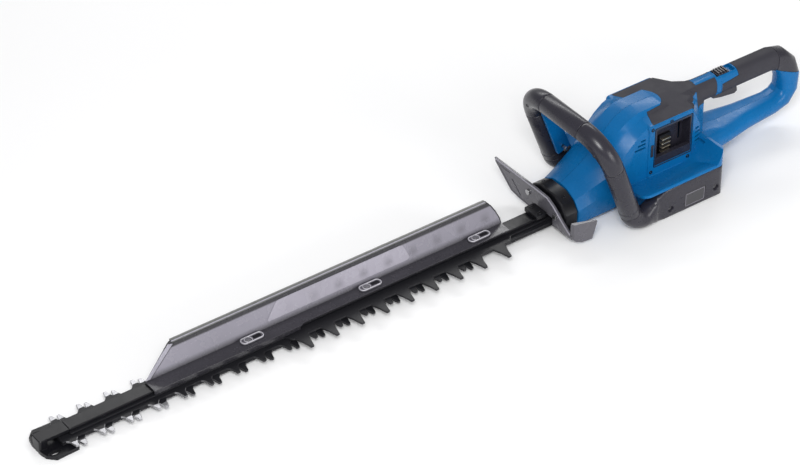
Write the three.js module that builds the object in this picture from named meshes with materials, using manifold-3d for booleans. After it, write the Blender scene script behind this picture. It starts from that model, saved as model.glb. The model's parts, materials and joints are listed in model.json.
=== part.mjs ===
// Cordless hedge trimmer, millimetres, +Z up. The blade points towards -X and the operator's left is -Y.
// The origin is on the flat underside of the base, z = 0.
import * as THREE from "three";
import { mergeVertices } from "three/addons/utils/BufferGeometryUtils.js";
import Module from "manifold-3d";

const wasm = await Module();
wasm.setup();

// ---- clearances and walls ----
const GAP = 0.3; // clearance between touching pieces
const WALL = 2.8; // wall of the housing shells
const SKIN = 2.2; // thickness of the soft grip

// ---- blades ----
const TEETH_PITCH = 36;
const TEETH = 16; // cutting teeth on each side of a blade
const BIG_TEETH = 9; // blunt guard teeth on each side of the comb
const CRANK = 9; // throw of the drive pins, half of the stroke
const STROKE_BACK = 5.25; // travel of a blade from rest to one end of its stroke
const STROKE_AHEAD = 2 * CRANK - STROKE_BACK;
const BLADE_ROOT = 17; // half width of the blade strips
const BLADE_TIP = 30.5; // half width over the cutting teeth
const BLADE_END_X = -826;
const COMB = { half: 12, wide: 21, tip: 44, wideFront: -516, wideRear: -198 };
const UPPER_TEETH_X = -274.2; // first tooth of the upper blade
const LOWER_TEETH_X = -263.7; // first tooth of the lower blade
const COMB_TEETH_X = -216.9; // first blunt tooth
const CUT_TOOTH = { root: 8.2, neck: 4.4, crown: 1.9, fillet: 4 };
const COMB_TOOTH = { root: 9.5, neck: 5, crown: 2.1, fillet: 11 };
const BOLT_XS = [-250, -385, -520, -655, -790];
const LAYERS = {
  backing: [2.6, 5.4],
  lower: [5.7, 8.2],
  upper: [8.5, 11],
  comb: [11.3, 13.7],
  bar: [14, 18],
};
const BAR = { end: -812, half: 8.7, bevel: 0.8 };
const YOKE = { upperX: -107.8, lowerX: -112, top: 18.6, fork: 16.1, half: 19.5, slot: 13.9, front: 7 };
const NOSE = { front: -851, block: -839.5, blockHalf: 9, plate: 4.8, rear: -808, half: 28 };
const NOSE_EYE = { x: -838, y: 19.5, long: 8.5, wide: 3.2 };

// ---- drive ----
const CASE_FRONT_X = -128; // front face of the gear case
const CASE_REAR_X = -108.3;
const GEAR_X = -80; // axis of the drive gear
const GEAR_TEETH = 42;
const PINION_TEETH = 13;
const MODULE = 1;
const MOTOR_X = GEAR_X + (MODULE * (GEAR_TEETH + PINION_TEETH)) / 2;
const CAN = { radius: 16, bottom: 33, top: 56 };

// ---- guards ----
const GUARD = { front: -701, rear: -191, step: -500, topFront: -660, topRear: -208, height: 36, panel: 2.2 };
const GUARD_SCREWS = [-565, -397, -236];
const GUARD_LEAN = THREE.MathUtils.degToRad(20);
const GUARD_TOP = 20.4; // top of the guard's foot
const HAND_GUARD = { thick: 3, standOff: 3.3 };
const HAND_GUARD_SCREWS = [[-25, 24], [28, 30]];
const HAND_GUARD_WING = [
  [12, 44], [97, 42], [95, 38], [61, 12], [43, 9.5], [12, 9.5], [-12, 8], [-39, 8], [-58, 9],
  [-56, 14], [-38, 25], [-22, 37], [-10, 43],
];
const HAND_GUARD_FLAP = [[-137, 32], [-137, 15], [-130, 6], [-122, 3], [-109, 5], [-103, 31]];

// ---- base and front handle ----
const BASE = { front: -19, rear: 86, inner: 66, outer: 84, corner: 11, railTop: 43.2, railInnerTop: 38.4 };
const TUBE = 13.3; // radius of the front handle
const TUBE_WALL = 2.8;
const HANDLE_Y = 76; // centre line of each leg
const BEND = 40; // bend radius of the upper elbows
const CROSS = { x: -103, z: 144 }; // centre line of the crossbar
const LEAN = THREE.MathUtils.degToRad(20.8); // lean of the legs
const LEG_END = 124; // distance down the leg to the lower elbow
const RAIL_BEND = 22;
const RAIL_SCREWS = [[0, 12], [72, 14]];
const PLATE = { x0: 22.3, x1: 53.7, z0: 5.3, z1: 24.7 }; // the blank name plate
const LEVER = { down: 103, back: 8, end: 110, rim: 5, width: 20, clear: 1.5 };

// ---- housing ----
const BAY = { x0: 8, x1: 61, z0: 52, z1: 102, back: 27, face: 42, liner: 2 };
const FRAME = { x0: -6, x1: 66, z0: 35, z1: 112 };
const CONTACTS = { x0: 22, x1: 40, z0: 55, z1: 81 }; // block of battery terminals in each bay
const GRIP_Z = 99;
const TRIGGER_PIN = { x: 127, z: 90 };
const GRIP = { from: 136, slot: 163, to: 229.5 };
const NECK = { from: 94, to: 128, strip: 6.3 };
const WING = [[83.7, 43.8], [83.7, 45.6], [82.2, 47], [78, 46.6], [43, 36.2]]; // upper edge of a base wing
const WING_FRONT = -42;
const COVE = [
  [50, 34], [50, 37], [60, 38.5], [68, 43], [74, 50], [79, 59], [82, 65.5], [86, 65.5], [86, 34],
];

// Half sections of the body across Y, from the edge of the flat bottom up to the crown.
const BODY = [
  { x: -108, half: [[26, 1], [34, 6], [37.5, 16], [37.5, 28], [29, 40], [15, 47.5], [8, 49], [0, 49.5]] },
  { x: -95, half: [[27, 1], [36, 7], [39, 18], [39, 32], [31, 45], [17, 53], [9, 55], [0, 55.5]] },
  { x: -78, half: [[28, 1], [37, 8], [40.5, 20], [40.5, 37], [34, 53], [21, 62], [12, 65], [0, 66]] },
  { x: -62, half: [[28, 1], [38, 9], [41, 22], [41, 44], [37, 60], [25, 71], [16, 76], [0, 78]] },
  { x: -50, half: [[28, 1], [38, 9], [41, 22], [41, 58], [38, 72], [27, 84], [18, 90], [0, 92]] },
  { x: -38, half: [[28, 1], [38, 9], [41, 22], [41, 74], [39, 85], [28, 96], [19, 102.5], [0, 104.5]] },
  { x: -26, half: [[28, 1], [38, 9], [41, 22], [41, 87], [39.5, 97], [27, 106], [19, 112], [0, 114]] },
  { x: -14, half: [[28, 1], [38, 9], [41, 22], [41, 99], [39.5, 106], [25, 112], [19, 118], [0, 119.5]] },
  { x: -2, half: [[28, 1], [38, 9], [41, 22], [41, 106], [39.5, 111], [23, 115], [18, 120], [0, 121.5]] },
  { x: 31, half: [[28, 1], [38, 9], [41, 22], [41, 108], [39.5, 112], [22.5, 115], [18, 120], [0, 121.3]] },
  { x: 42, half: [[28, 1], [38, 9], [41, 22], [41, 108], [39.5, 112], [22, 115], [13, 117.2], [0, 118.6]] },
  { x: 66, half: [[28, 2], [38, 9], [41, 20], [41, 108], [39, 112], [26, 114.2], [13, 116.5], [0, 118]] },
  { x: 80, half: [[22, 6], [32, 10], [38, 18], [38, 80], [27, 105], [19, 112], [11, 115.5], [0, 116.5]] },
  { x: 92, half: [[16, 12], [24, 14], [28, 22], [25, 70], [15.5, 99], [13, 108], [8.5, 113.5], [0, 115]] },
  { x: 108, half: [[9, 16], [12, 18], [13.5, 24], [12, 70], [12, 96], [11, 106], [7, 112], [0, 113.6]] },
];

// The rear handle: grip, rear bend and lower arm. A station is a superellipse across its heading.
const LOOP = [
  { x: 88, z: GRIP_Z, turn: 0, w: 13, h: 15, wall: 5 },
  { x: 222, z: GRIP_Z, turn: 0, w: 13, h: 15, wall: 5 },
  { x: 237, z: 94.5, turn: -30, w: 13.5, h: 15.5, wall: 5 },
  { x: 249, z: 82, turn: -60, w: 14, h: 16, wall: 4 },
  { x: 255.5, z: 64, turn: -80, w: 15, h: 16, wall: WALL },
  { x: 254.5, z: 46, turn: -100, w: 16, h: 14.5, wall: WALL },
  { x: 245, z: 34, turn: -140, w: 17, h: 13, wall: WALL },
  { x: 228, z: 29.5, turn: -178, w: 18, h: 11.5, wall: WALL },
  { x: 180, z: 28.5, turn: -180, w: 22, h: 12, wall: WALL },
  { x: 140, z: 28, turn: -180, w: 30, h: 12.5, wall: WALL },
  { x: 104, z: 30, turn: -180, w: 37, h: 16, wall: WALL },
  { x: 84, z: 36, turn: -180, w: 40.5, h: 24, wall: WALL },
  { x: 64, z: 42, turn: -180, w: 40.5, h: 33, wall: WALL },
].map((s) => ({ ...s, n: 2.6 }));

// Plan of the soft top cover on the near side: a tongue of the blue body runs back between its two arms.
const COVER = [
  [41, 0], [40, -8], [36, -14], [30, -19], [8, -20], [2, -40.2], [66, -40.2], [88, -22], [97, -16], [97, 0],
];

// ---- solids ----
function solid(geometry) {
  const bare = geometry.index ? geometry.toNonIndexed() : geometry.clone();
  bare.deleteAttribute("normal");
  bare.deleteAttribute("uv");
  const merged = mergeVertices(bare, 1e-4);
  return new wasm.Manifold(
    new wasm.Mesh({
      numProp: 3,
      vertProperties: merged.attributes.position.array,
      triVerts: new Uint32Array(merged.index.array),
    }),
  );
}

function geometryOf(body) {
  const mesh = body.getMesh();
  const geometry = new THREE.BufferGeometry();
  geometry.setAttribute("position", new THREE.BufferAttribute(new Float32Array(mesh.vertProperties), 3));
  geometry.setIndex(new THREE.BufferAttribute(new Uint32Array(mesh.triVerts), 1));
  geometry.computeVertexNormals();
  return geometry;
}

function box(x0, x1, y0, y1, z0, z1) {
  const geometry = new THREE.BoxGeometry(x1 - x0, y1 - y0, z1 - z0);
  return solid(geometry.translate((x0 + x1) / 2, (y0 + y1) / 2, (z0 + z1) / 2));
}

const AXES = {
  X: [new THREE.Vector3(0, 1, 0), new THREE.Vector3(0, 0, 1), new THREE.Vector3(1, 0, 0)],
  Y: [new THREE.Vector3(1, 0, 0), new THREE.Vector3(0, 0, 1), new THREE.Vector3(0, -1, 0)],
  Z: [new THREE.Vector3(1, 0, 0), new THREE.Vector3(0, 1, 0), new THREE.Vector3(0, 0, 1)],
};

// An outline pulled along an axis: (y, z) along X, (x, z) along Y, (x, y) along Z.
function prism(outline, axis, from, to, { bevel = 0, holes = [] } = {}) {
  const shape = outline instanceof THREE.Shape ? outline : shapeOf(outline);
  shape.holes.push(...holes);
  const geometry = new THREE.ExtrudeGeometry(shape, {
    depth: to - from - 2 * bevel,
    bevelEnabled: bevel > 0,
    bevelThickness: bevel,
    bevelSize: bevel,
    bevelOffset: -bevel,
    bevelSegments: 1,
    curveSegments: 4,
  });
  geometry.translate(0, 0, bevel + (axis === "Y" ? -to : from));
  return solid(geometry.applyMatrix4(new THREE.Matrix4().makeBasis(...AXES[axis])));
}

function shapeOf(points) {
  return new THREE.Shape(points.map(([a, b]) => new THREE.Vector2(a, b)));
}

function roundedOutline(x0, x1, y0, y1, r) {
  const shape = new THREE.Shape();
  shape.absarc(x1 - r, y1 - r, r, 0, Math.PI / 2);
  shape.absarc(x0 + r, y1 - r, r, Math.PI / 2, Math.PI);
  shape.absarc(x0 + r, y0 + r, r, Math.PI, 1.5 * Math.PI);
  shape.absarc(x1 - r, y0 + r, r, 1.5 * Math.PI, 2 * Math.PI);
  return shape;
}

function slotHole(x0, x1, y, r) {
  const path = new THREE.Path();
  path.absarc(x1, y, r, -Math.PI / 2, Math.PI / 2);
  path.absarc(x0, y, r, Math.PI / 2, 1.5 * Math.PI);
  return path;
}

// A round bar along an axis, between two values on that axis.
function rod(axis, x, y, z, radius, from, to, sides = 24) {
  const geometry = new THREE.CylinderGeometry(radius, radius, to - from, sides);
  const middle = (from + to) / 2;
  if (axis === "X") return solid(geometry.rotateZ(Math.PI / 2).translate(middle, y, z));
  if (axis === "Y") return solid(geometry.translate(x, middle, z));
  return solid(geometry.rotateX(Math.PI / 2).translate(x, y, middle));
}

// A closed skin over rings of points, all with the same count and turning the same way.
function skin(rings) {
  const sides = rings[0].length;
  const points = rings.flat();
  const faces = [];
  for (let i = 0; i + 1 < rings.length; i += 1) {
    for (let k = 0; k < sides; k += 1) {
      const a = i * sides + k;
      const b = i * sides + ((k + 1) % sides);
      faces.push(a, b, b + sides, a, b + sides, a + sides);
    }
  }
  const last = (rings.length - 1) * sides;
  for (const ring of [rings[0], rings[rings.length - 1]]) {
    points.push([0, 1, 2].map((axis) => ring.reduce((sum, point) => sum + point[axis], 0) / sides));
  }
  for (let k = 0; k < sides; k += 1) {
    const next = (k + 1) % sides;
    faces.push(points.length - 2, next, k);
    faces.push(points.length - 1, last + k, last + next);
  }
  const geometry = new THREE.BufferGeometry();
  geometry.setAttribute("position", new THREE.Float32BufferAttribute(points.flat(), 3));
  geometry.setIndex(faces);
  return solid(geometry);
}

// Superellipse rings along a path in the XZ plane. A station is { x, z, y, turn, w, h, n }: the centre of
// the ring, its heading in degrees, its half width, half height and squareness.
function loft(stations, inset = 0, sides = 24) {
  const rings = stations.map((s) => {
    const a = THREE.MathUtils.degToRad(s.turn);
    const thin = inset ? s.wall : 0;
    const power = 2 / s.n;
    const ring = [];
    for (let k = 0; k < sides; k += 1) {
      const t = (2 * Math.PI * k) / sides;
      const across = (s.w - thin) * Math.sign(Math.cos(t)) * Math.abs(Math.cos(t)) ** power;
      const up = (s.h - thin) * Math.sign(Math.sin(t)) * Math.abs(Math.sin(t)) ** power;
      ring.push([s.x - Math.sin(a) * up, (s.y ?? 0) + across, s.z + Math.cos(a) * up]);
    }
    return ring;
  });
  return skin(rings);
}

// The faceted body through its half sections, made thinner all round by `thin`.
function bodyLoft(sections, thin) {
  const rings = sections.map(({ x, half }) => {
    const bottom = half[0][1];
    const top = half[half.length - 1][1];
    const middle = (top + bottom) / 2;
    const wide = Math.max(...half.map(([y]) => y));
    const across = 1 - thin / wide;
    const up = 1 - thin / (top - middle);
    const side = half.map(([y, z]) => [x, y * across, middle + (z - middle) * up]);
    const other = side.slice(0, -1).map(([, y, z]) => [x, -y, z]);
    return [...side, ...other.reverse()];
  });
  return skin(rings);
}

// A quarter circle from `centre + from` to `centre + to`.
class Bend extends THREE.Curve {
  constructor(centre, from, to) {
    super();
    this.centre = centre;
    this.from = from;
    this.to = to;
  }
  getPoint(t) {
    const angle = (t * Math.PI) / 2;
    return this.centre
      .clone()
      .addScaledVector(this.from, Math.cos(angle))
      .addScaledVector(this.to, Math.sin(angle));
  }
}

function pipe(curve, radius, wall, steps, sides = 16) {
  const shape = new THREE.Shape().absarc(0, 0, radius, 0, 2 * Math.PI);
  if (wall) shape.holes.push(new THREE.Path().absarc(0, 0, radius - wall, 0, 2 * Math.PI, true));
  const geometry = new THREE.ExtrudeGeometry(shape, { steps, extrudePath: curve, curveSegments: sides / 2 });
  return solid(geometry);
}

function mirrorY(body) {
  return body.mirror([0, 1, 0]);
}

// ---- finishes ----
function finish(color, roughness, metalness = 0) {
  return new THREE.MeshStandardMaterial({ color, roughness, metalness });
}

const BLUE = finish(0x1969b4, 0.35);
const SOFT = finish(0x46464b, 0.75);
const DARK = finish(0x343438, 0.5);
const BLACK = finish(0x1b1b1d, 0.4);
const SMOKE = finish(0x9691a0, 0.25);
const LABEL = finish(0xb9b5c0, 0.5);
const STEEL = finish(0x9a9b9e, 0.35, 0.9);
const BLADE = finish(0x3a3a3e, 0.35, 0.8);
const BRASS = finish(0xb08d4a, 0.35, 0.9);
const GREEN = finish(0x2c5a3a, 0.6);

const trimmer = new THREE.Group();

function add(name, body, material) {
  const mesh = new THREE.Mesh(geometryOf(body), material);
  mesh.name = name;
  trimmer.add(mesh);
}

// ---- housing: two shells, top cover, grip sleeve and end cap ----
function bothSides(halfOutline) {
  const far = halfOutline.map(([x, y]) => [x, -y]).filter(([, y]) => y !== 0);
  return [...halfOutline, ...far.reverse()];
}

function coverZone(grow) {
  const zone = prism(bothSides(COVER), "Z", 108 - grow, 170);
  if (!grow) return zone;
  return [[grow, 0], [-grow, 0], [0, grow], [0, -grow]]
    .map(([dx, dy]) => zone.translate([dx, dy, 0]))
    .reduce((sum, one) => sum.add(one));
}

function neckZone(grow) {
  const strip = NECK.strip - grow;
  return box(NECK.from - grow, NECK.to + grow, -24, 24, 86 - grow, 120)
    .subtract(box(NECK.from - 5, NECK.to + 5, -strip, strip, 105, 121));
}

function capZone(grow) {
  return prism([[230 - grow, 84 - grow], [285, 61 - grow], [285, 125], [230 - grow, 125]], "Y", -40, 40);
}

function sleeveZone(grow) {
  const outline = [
    [GRIP.from - grow, 80], [GRIP.to + grow, 80], [GRIP.to + grow, 125], [GRIP.slot - grow, 125],
    [GRIP.slot - grow, 105 + grow], [GRIP.from - grow, 102 + grow],
  ];
  return prism(outline, "Y", -40, 40);
}

function railRoom() {
  const room = [[-95, -1], [-65.7, -1], [-65.7, 38.9], [-83.7, 43.8], [-95, 46.9]];
  const near = prism(room.reverse(), "X", BASE.front - GAP, BASE.rear + 5);
  return near.add(mirrorY(near));
}

// The wide foot of the housing: a dished wing over each rail and a cove behind each battery.
function skirt() {
  const top = WING.map(([y, z]) => [-y, z]);
  const under = [[43, 32.7], [65.7, 38.9]];
  const section = [...top, ...WING.map(([y, z]) => [y, z]).reverse(), ...under.reverse()]
    .concat(under.reverse().map(([y, z]) => [-y, z]));
  const wings = prism(section.reverse(), "X", WING_FRONT, BASE.rear);
  const cove = prism([...COVE].reverse(), "Y", -WING[0][0], WING[0][0]);
  const core = box(BASE.front + GAP, BASE.rear - 2, -65.7, 65.7, 4.3, 35);
  const plan = prism(roundedOutline(WING_FRONT, BASE.rear, -83.7, 83.7, BASE.corner), "Z", 0, 70);
  return wings.add(cove).add(core).subtract(railRoom()).intersect(plan);
}

const skirtHollow = box(BASE.front + GAP + WALL, BASE.rear - 2 - WALL, -62.9, 62.9, 4.3 + WALL, 32);
const frameOuter = prism(
  roundedOutline(FRAME.x0, FRAME.x1, FRAME.z0, FRAME.z1, 4), "Y", -BAY.face, BAY.face, { bevel: 1 });
const frameInner = box(
  FRAME.x0 + WALL, FRAME.x1 - WALL, -BAY.face + WALL, BAY.face - WALL, FRAME.z0 + WALL, FRAME.z1 - WALL);

const outer = bodyLoft(BODY, 0).add(loft(LOOP)).add(skirt()).add(frameOuter);
const hollow = bodyLoft(BODY.slice(1, -1), WALL).add(loft(LOOP, WALL)).add(skirtHollow).add(frameInner);
const walls = outer.subtract(hollow);
const triggerSlot = box(118, 172, -6.8, 6.8, 70, 101);
const sliderPocket = box(130.7, 160.3, -7.3, 7.3, 109.8, 120);
const sliderFloor = loft(LOOP.slice(0, 2)).intersect(box(128, 163, -20, 20, 105.5, 120));

function linerHull(grow) {
  const b = BAY;
  const edge = b.liner + grow;
  return box(b.x0 - edge, b.x1 + edge, b.back - edge, b.face + 1, b.z0 - edge, b.z1 + edge);
}

function bothLiners(grow) {
  return linerHull(grow).add(mirrorY(linerHull(grow)));
}

// Three slots in front of each bay and four behind it, each row longer than the one above.
function ventCuts() {
  const slots = [];
  for (let k = 0; k < 3; k += 1) {
    const z = 94 - 5.7 * k;
    slots.push(box(-17 - 4.5 * k, -9.5, -50, -30, z, z + 2.6));
  }
  for (let k = 0; k < 4; k += 1) {
    const z = 76 - 6.3 * k;
    slots.push(box(71.5, 78 + 4 * k, -50, -18, z, z + 3));
  }
  const near = slots.reduce((sum, one) => sum.add(one));
  return near.add(mirrorY(near));
}

// The largest connected piece of a body.
function mainPiece(body) {
  return body.decompose().reduce((best, one) => (one.volume() > best.volume() ? one : best));
}

// What lies outside a core of the rear handle, `depth` below its surface.
function aroundCore(zone, depth) {
  return zone.subtract(loft(LOOP.map((s) => ({ ...s, wall: depth })), depth));
}

function shells() {
  const bottomCut = box(-109, -39.2, -28.4, 28.4, -5, 33).add(box(-45, 95, -90, 90, -5, 4.3));
  return walls
    .add(sliderFloor)
    .subtract(coverZone(GAP))
    .subtract(aroundCore(neckZone(GAP), SKIN + GAP))
    .subtract(capZone(GAP))
    .subtract(aroundCore(sleeveZone(2 * GAP), SKIN + GAP))
    .subtract(triggerSlot)
    .subtract(rod("Y", TRIGGER_PIN.x, 0, TRIGGER_PIN.z, 1.9, -9, 9, 12))
    .subtract(sliderPocket)
    .subtract(bothLiners(GAP))
    .subtract(ventCuts())
    .subtract(bottomCut);
}

function housing() {
  const both = shells();
  add("left_shell", mainPiece(both.intersect(box(-200, 300, -200, -GAP / 2, -20, 200))), BLUE);
  add("right_shell", mainPiece(both.intersect(box(-200, 300, GAP / 2, 200, -20, 200))), BLUE);
  const collar = aroundCore(outer.intersect(neckZone(0)), SKIN);
  const cover = walls.intersect(coverZone(0)).add(collar).subtract(bothLiners(GAP)).subtract(triggerSlot);
  add("top_cover", mainPiece(cover), SOFT);
  const sleeve = aroundCore(loft(LOOP).intersect(sleeveZone(0)), SKIN).subtract(triggerSlot);
  add("rear_grip_sleeve", sleeve, SOFT);
  add("rear_end_cap", walls.intersect(capZone(0)), DARK);
}

// ---- battery bays ----

function contactBlock() {
  const c = CONTACTS;
  const back = BAY.back + GAP;
  let block = box(c.x0, c.x1, BAY.back - 1.7, back + 3.4, c.z0, c.z1);
  for (let k = 0; k < 4; k += 1) {
    const z = 57 + 6 * k;
    block = block.add(box(24, 38, back + 3, back + 6.2, z, z + 1.4));
  }
  return block;
}

function bays() {
  const b = BAY;
  const room = box(b.x0, b.x1, b.back, b.face + 2, b.z0, b.z1);
  const hull = box(b.x0 - 2, b.x1 + 2, b.back - 2, b.face - 0.5, b.z0 - 2, b.z1 + 2);
  const latch = box(54, 57.5, b.back - 3, b.back + 1, 62, 88);
  const lip = box(b.x0 - 1, b.x1 + 1, b.face - 6, b.face - 0.5, b.z0 - 1, 61);
  const c = CONTACTS;
  const hole = box(c.x0 - GAP, c.x1 + GAP, b.back - 3, b.back + 1, c.z0 - GAP, c.z1 + GAP);
  const liner = hull.subtract(room).add(lip).subtract(latch).subtract(hole);
  add("right_bay_liner", liner, DARK);
  add("left_bay_liner", mirrorY(liner), DARK);
  add("right_contact_block", contactBlock(), BRASS);
  add("left_contact_block", mirrorY(contactBlock()), BRASS);
}

// ---- base plate, rails and front handle ----
const DOWN = new THREE.Vector3(Math.sin(LEAN), 0, -Math.cos(LEAN));
const BACK = new THREE.Vector3(Math.cos(LEAN), 0, Math.sin(LEAN));
const SIDE = new THREE.Vector3(0, 1, 0);

// A point of the leaning handle plane: `side` along Y, `down` along the legs, `back` behind the plane.
function onHandle(side, down, back = 0) {
  return new THREE.Vector3(CROSS.x, side, CROSS.z).addScaledVector(DOWN, down).addScaledVector(BACK, back);
}

const LEVER_PIN = onHandle(0, LEVER.down, LEVER.back);

function railStations() {
  const foot = onHandle(0, LEG_END);
  const start = -90 + THREE.MathUtils.radToDeg(LEAN);
  const a0 = THREE.MathUtils.degToRad(start);
  const stations = [];
  for (let k = 0; k <= 4; k += 1) {
    const turn = start * (1 - k / 4);
    const a = THREE.MathUtils.degToRad(turn);
    stations.push({
      x: foot.x + RAIL_BEND * (Math.sin(a) - Math.sin(a0)),
      z: foot.z - RAIL_BEND * (Math.cos(a) - Math.cos(a0)),
      y: -HANDLE_Y, turn, w: TUBE, h: TUBE, n: 2,
    });
  }
  const y = -(BASE.inner + BASE.outer + GAP) / 2;
  const w = (BASE.outer - BASE.inner - GAP) / 2;
  const half = BASE.railTop / 2;
  stations.push({ x: -26, z: 16, y: -HANDLE_Y + 0.5, turn: 0, w: 11.5, h: 16, n: 2.6 });
  stations.push({ x: BASE.front, z: 19, y, turn: 0, w, h: 19, n: 5 });
  stations.push({ x: -6, z: half, y, turn: 0, w, h: half, n: 9 });
  stations.push({ x: BASE.rear, z: half, y, turn: 0, w, h: half, n: 9 });
  return stations;
}

function base() {
  const sole = roundedOutline(BASE.front, BASE.rear - 2, -BASE.inner, BASE.inner, 8);
  add("base_plate", prism(sole, "Z", 0, 4), DARK);
  const lift = -railStations().reduce((low, s) => Math.min(low, s.z - s.h), 0);
  const roof = [
    [-BASE.outer, 0], [-40, 0], [-40, BASE.railInnerTop], [-BASE.inner, BASE.railInnerTop],
    [-BASE.outer + 1, BASE.railTop], [-BASE.outer, BASE.railTop - 1],
  ];
  const plan = prism(roundedOutline(-120, BASE.rear, -BASE.outer, BASE.outer, BASE.corner), "Z", -1, 70);
  let rail = loft(railStations().map((s) => ({ ...s, z: s.z + lift })))
    .intersect(prism(roof, "X", -120, 100))
    .intersect(plan);
  for (const [x, z] of RAIL_SCREWS) rail = rail.subtract(rod("Y", x, 0, z, 3.6, -90, -76, 16));
  const p = PLATE;
  rail = rail.subtract(box(p.x0 - GAP, p.x1 + GAP, -90, -BASE.outer + 1.2, p.z0 - GAP, p.z1 + GAP));
  add("left_rail", rail, DARK);
  add("right_rail", mirrorY(rail), DARK);
  add("nameplate", box(p.x0, p.x1, -BASE.outer + 0.2, -BASE.outer + 0.9, p.z0, p.z1), LABEL);
  const heads = RAIL_SCREWS.map(([x, z]) => {
    const slot = box(x - 2.4, x + 2.4, -81, -79.4, z - 0.5, z + 0.5);
    return rod("Y", x, 0, z, 3.2, -80.5, -76.4, 12).subtract(slot);
  });
  [...heads, ...heads.map(mirrorY)].forEach((head, k) => add(`rail_screw_${k + 1}`, head, STEEL));
}

function frontHandle() {
  const straight = HANDLE_Y - BEND;
  const cross = new THREE.LineCurve3(onHandle(-straight + GAP, 0), onHandle(straight - GAP, 0));
  add("handle_crossbar", pipe(cross, TUBE, TUBE_WALL, 1), DARK);
  const up = DOWN.clone().multiplyScalar(-BEND);
  const out = SIDE.clone().multiplyScalar(-BEND);
  const elbow = new Bend(onHandle(-straight, BEND), up, out);
  const left = pipe(elbow, TUBE, TUBE_WALL, 6);
  add("left_elbow", left, DARK);
  add("right_elbow", mirrorY(left), DARK);
  const leg = new THREE.LineCurve3(onHandle(-HANDLE_Y, BEND + GAP), onHandle(-HANDLE_Y, LEG_END - GAP));
  const pin = LEVER_PIN;
  const tube = pipe(leg, TUBE, TUBE_WALL, 1).subtract(rod("Y", pin.x, 0, pin.z, 2.2, -66, -50, 12));
  add("left_leg", tube, DARK);
  add("right_leg", mirrorY(tube), DARK);
}

function leverOutline(radius, end) {
  const straight = HANDLE_Y - BEND;
  const points = [];
  for (let k = 0; k <= 6; k += 1) {
    const a = (k / 6) * (Math.PI / 2);
    points.push([-straight - radius * Math.cos(a), BEND - radius * Math.sin(a)]);
  }
  const mirrored = points.map(([y, s]) => [-y, s]).reverse();
  return [[-straight - radius, end], ...points, ...mirrored, [straight + radius, end]];
}

function switchLever() {
  const reach = BEND - TUBE - LEVER.clear;
  const rim = [...leverOutline(reach, LEVER.end), ...leverOutline(reach - LEVER.rim, LEVER.end).reverse()];
  const geometry = new THREE.ExtrudeGeometry(shapeOf(rim), { depth: LEVER.width, bevelEnabled: false });
  const place = new THREE.Matrix4().makeBasis(SIDE, DOWN, new THREE.Vector3().crossVectors(SIDE, DOWN));
  place.setPosition(onHandle(0, 0, LEVER.width - 2));
  const pin = LEVER_PIN;
  const lever = solid(geometry.applyMatrix4(place)).subtract(rod("Y", pin.x, 0, pin.z, 2.3, -80, 80, 12));
  add("switch_lever", lever, BLUE);
  add("left_lever_pin", rod("Y", pin.x, 0, pin.z, 1.9, -61, -49.5, 12), STEEL);
  add("right_lever_pin", rod("Y", pin.x, 0, pin.z, 1.9, 49.5, 61, 12), STEEL);
}

// ---- blades, comb, bar and nose ----
// A strip with hollow-flanked teeth on both sides, seen from above. A waist narrows it at both ends.
function toothedOutline({ front, rear, half, tip, firstX, count, tooth, waist = [] }) {
  const near = [[rear, waist.length ? waist[0][1] : -half], ...waist.slice(1, 3)];
  for (let k = 0; k < count; k += 1) {
    const x = firstX - TEETH_PITCH * k;
    near.push([x + tooth.root, -half], [x + tooth.neck, -half - tooth.fillet], [x + tooth.crown, -tip]);
    near.push([x - tooth.crown, -tip], [x - tooth.neck, -half - tooth.fillet], [x - tooth.root, -half]);
  }
  near.push(...waist.slice(3), [front, waist.length ? waist[0][1] : -half]);
  const far = near.map(([x, y]) => [x, -y]).reverse();
  return [...near, ...far].reverse();
}

function bladeStrip(firstX, layer, ahead, back, rear) {
  const outline = toothedOutline({
    front: BLADE_END_X, rear, half: BLADE_ROOT, tip: BLADE_TIP, firstX, count: TEETH, tooth: CUT_TOOTH,
  });
  const holes = BOLT_XS.map((x) => slotHole(x - back, x + ahead, 0, 2.9));
  return prism(outline, "Z", layer[0], layer[1], { holes });
}

// An open yoke that takes a drive pin between its arms.
function fork(front, end, z0, z1) {
  const arms = box(front, end, -YOKE.half, YOKE.half, z0, z1);
  return arms.subtract(box(front + YOKE.front, end + 1, -YOKE.slot, YOKE.slot, z0 - 1, z1 + 1));
}

function blades() {
  const riser = box(YOKE.upperX - 2.5, YOKE.upperX, -BLADE_ROOT, BLADE_ROOT, LAYERS.upper[0], YOKE.top);
  const upper = bladeStrip(UPPER_TEETH_X, LAYERS.upper, STROKE_AHEAD, STROKE_BACK, YOKE.upperX)
    .add(riser)
    .add(fork(YOKE.upperX - 2.5, -76, YOKE.fork, YOKE.top));
  add("upper_blade", upper, BLADE);
  const lower = bladeStrip(LOWER_TEETH_X, LAYERS.lower, STROKE_BACK, STROKE_AHEAD, YOKE.lowerX)
    .add(fork(YOKE.lowerX - 1.5, -84, LAYERS.lower[0], LAYERS.lower[1]));
  add("lower_blade", lower, BLADE);
}

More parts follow.
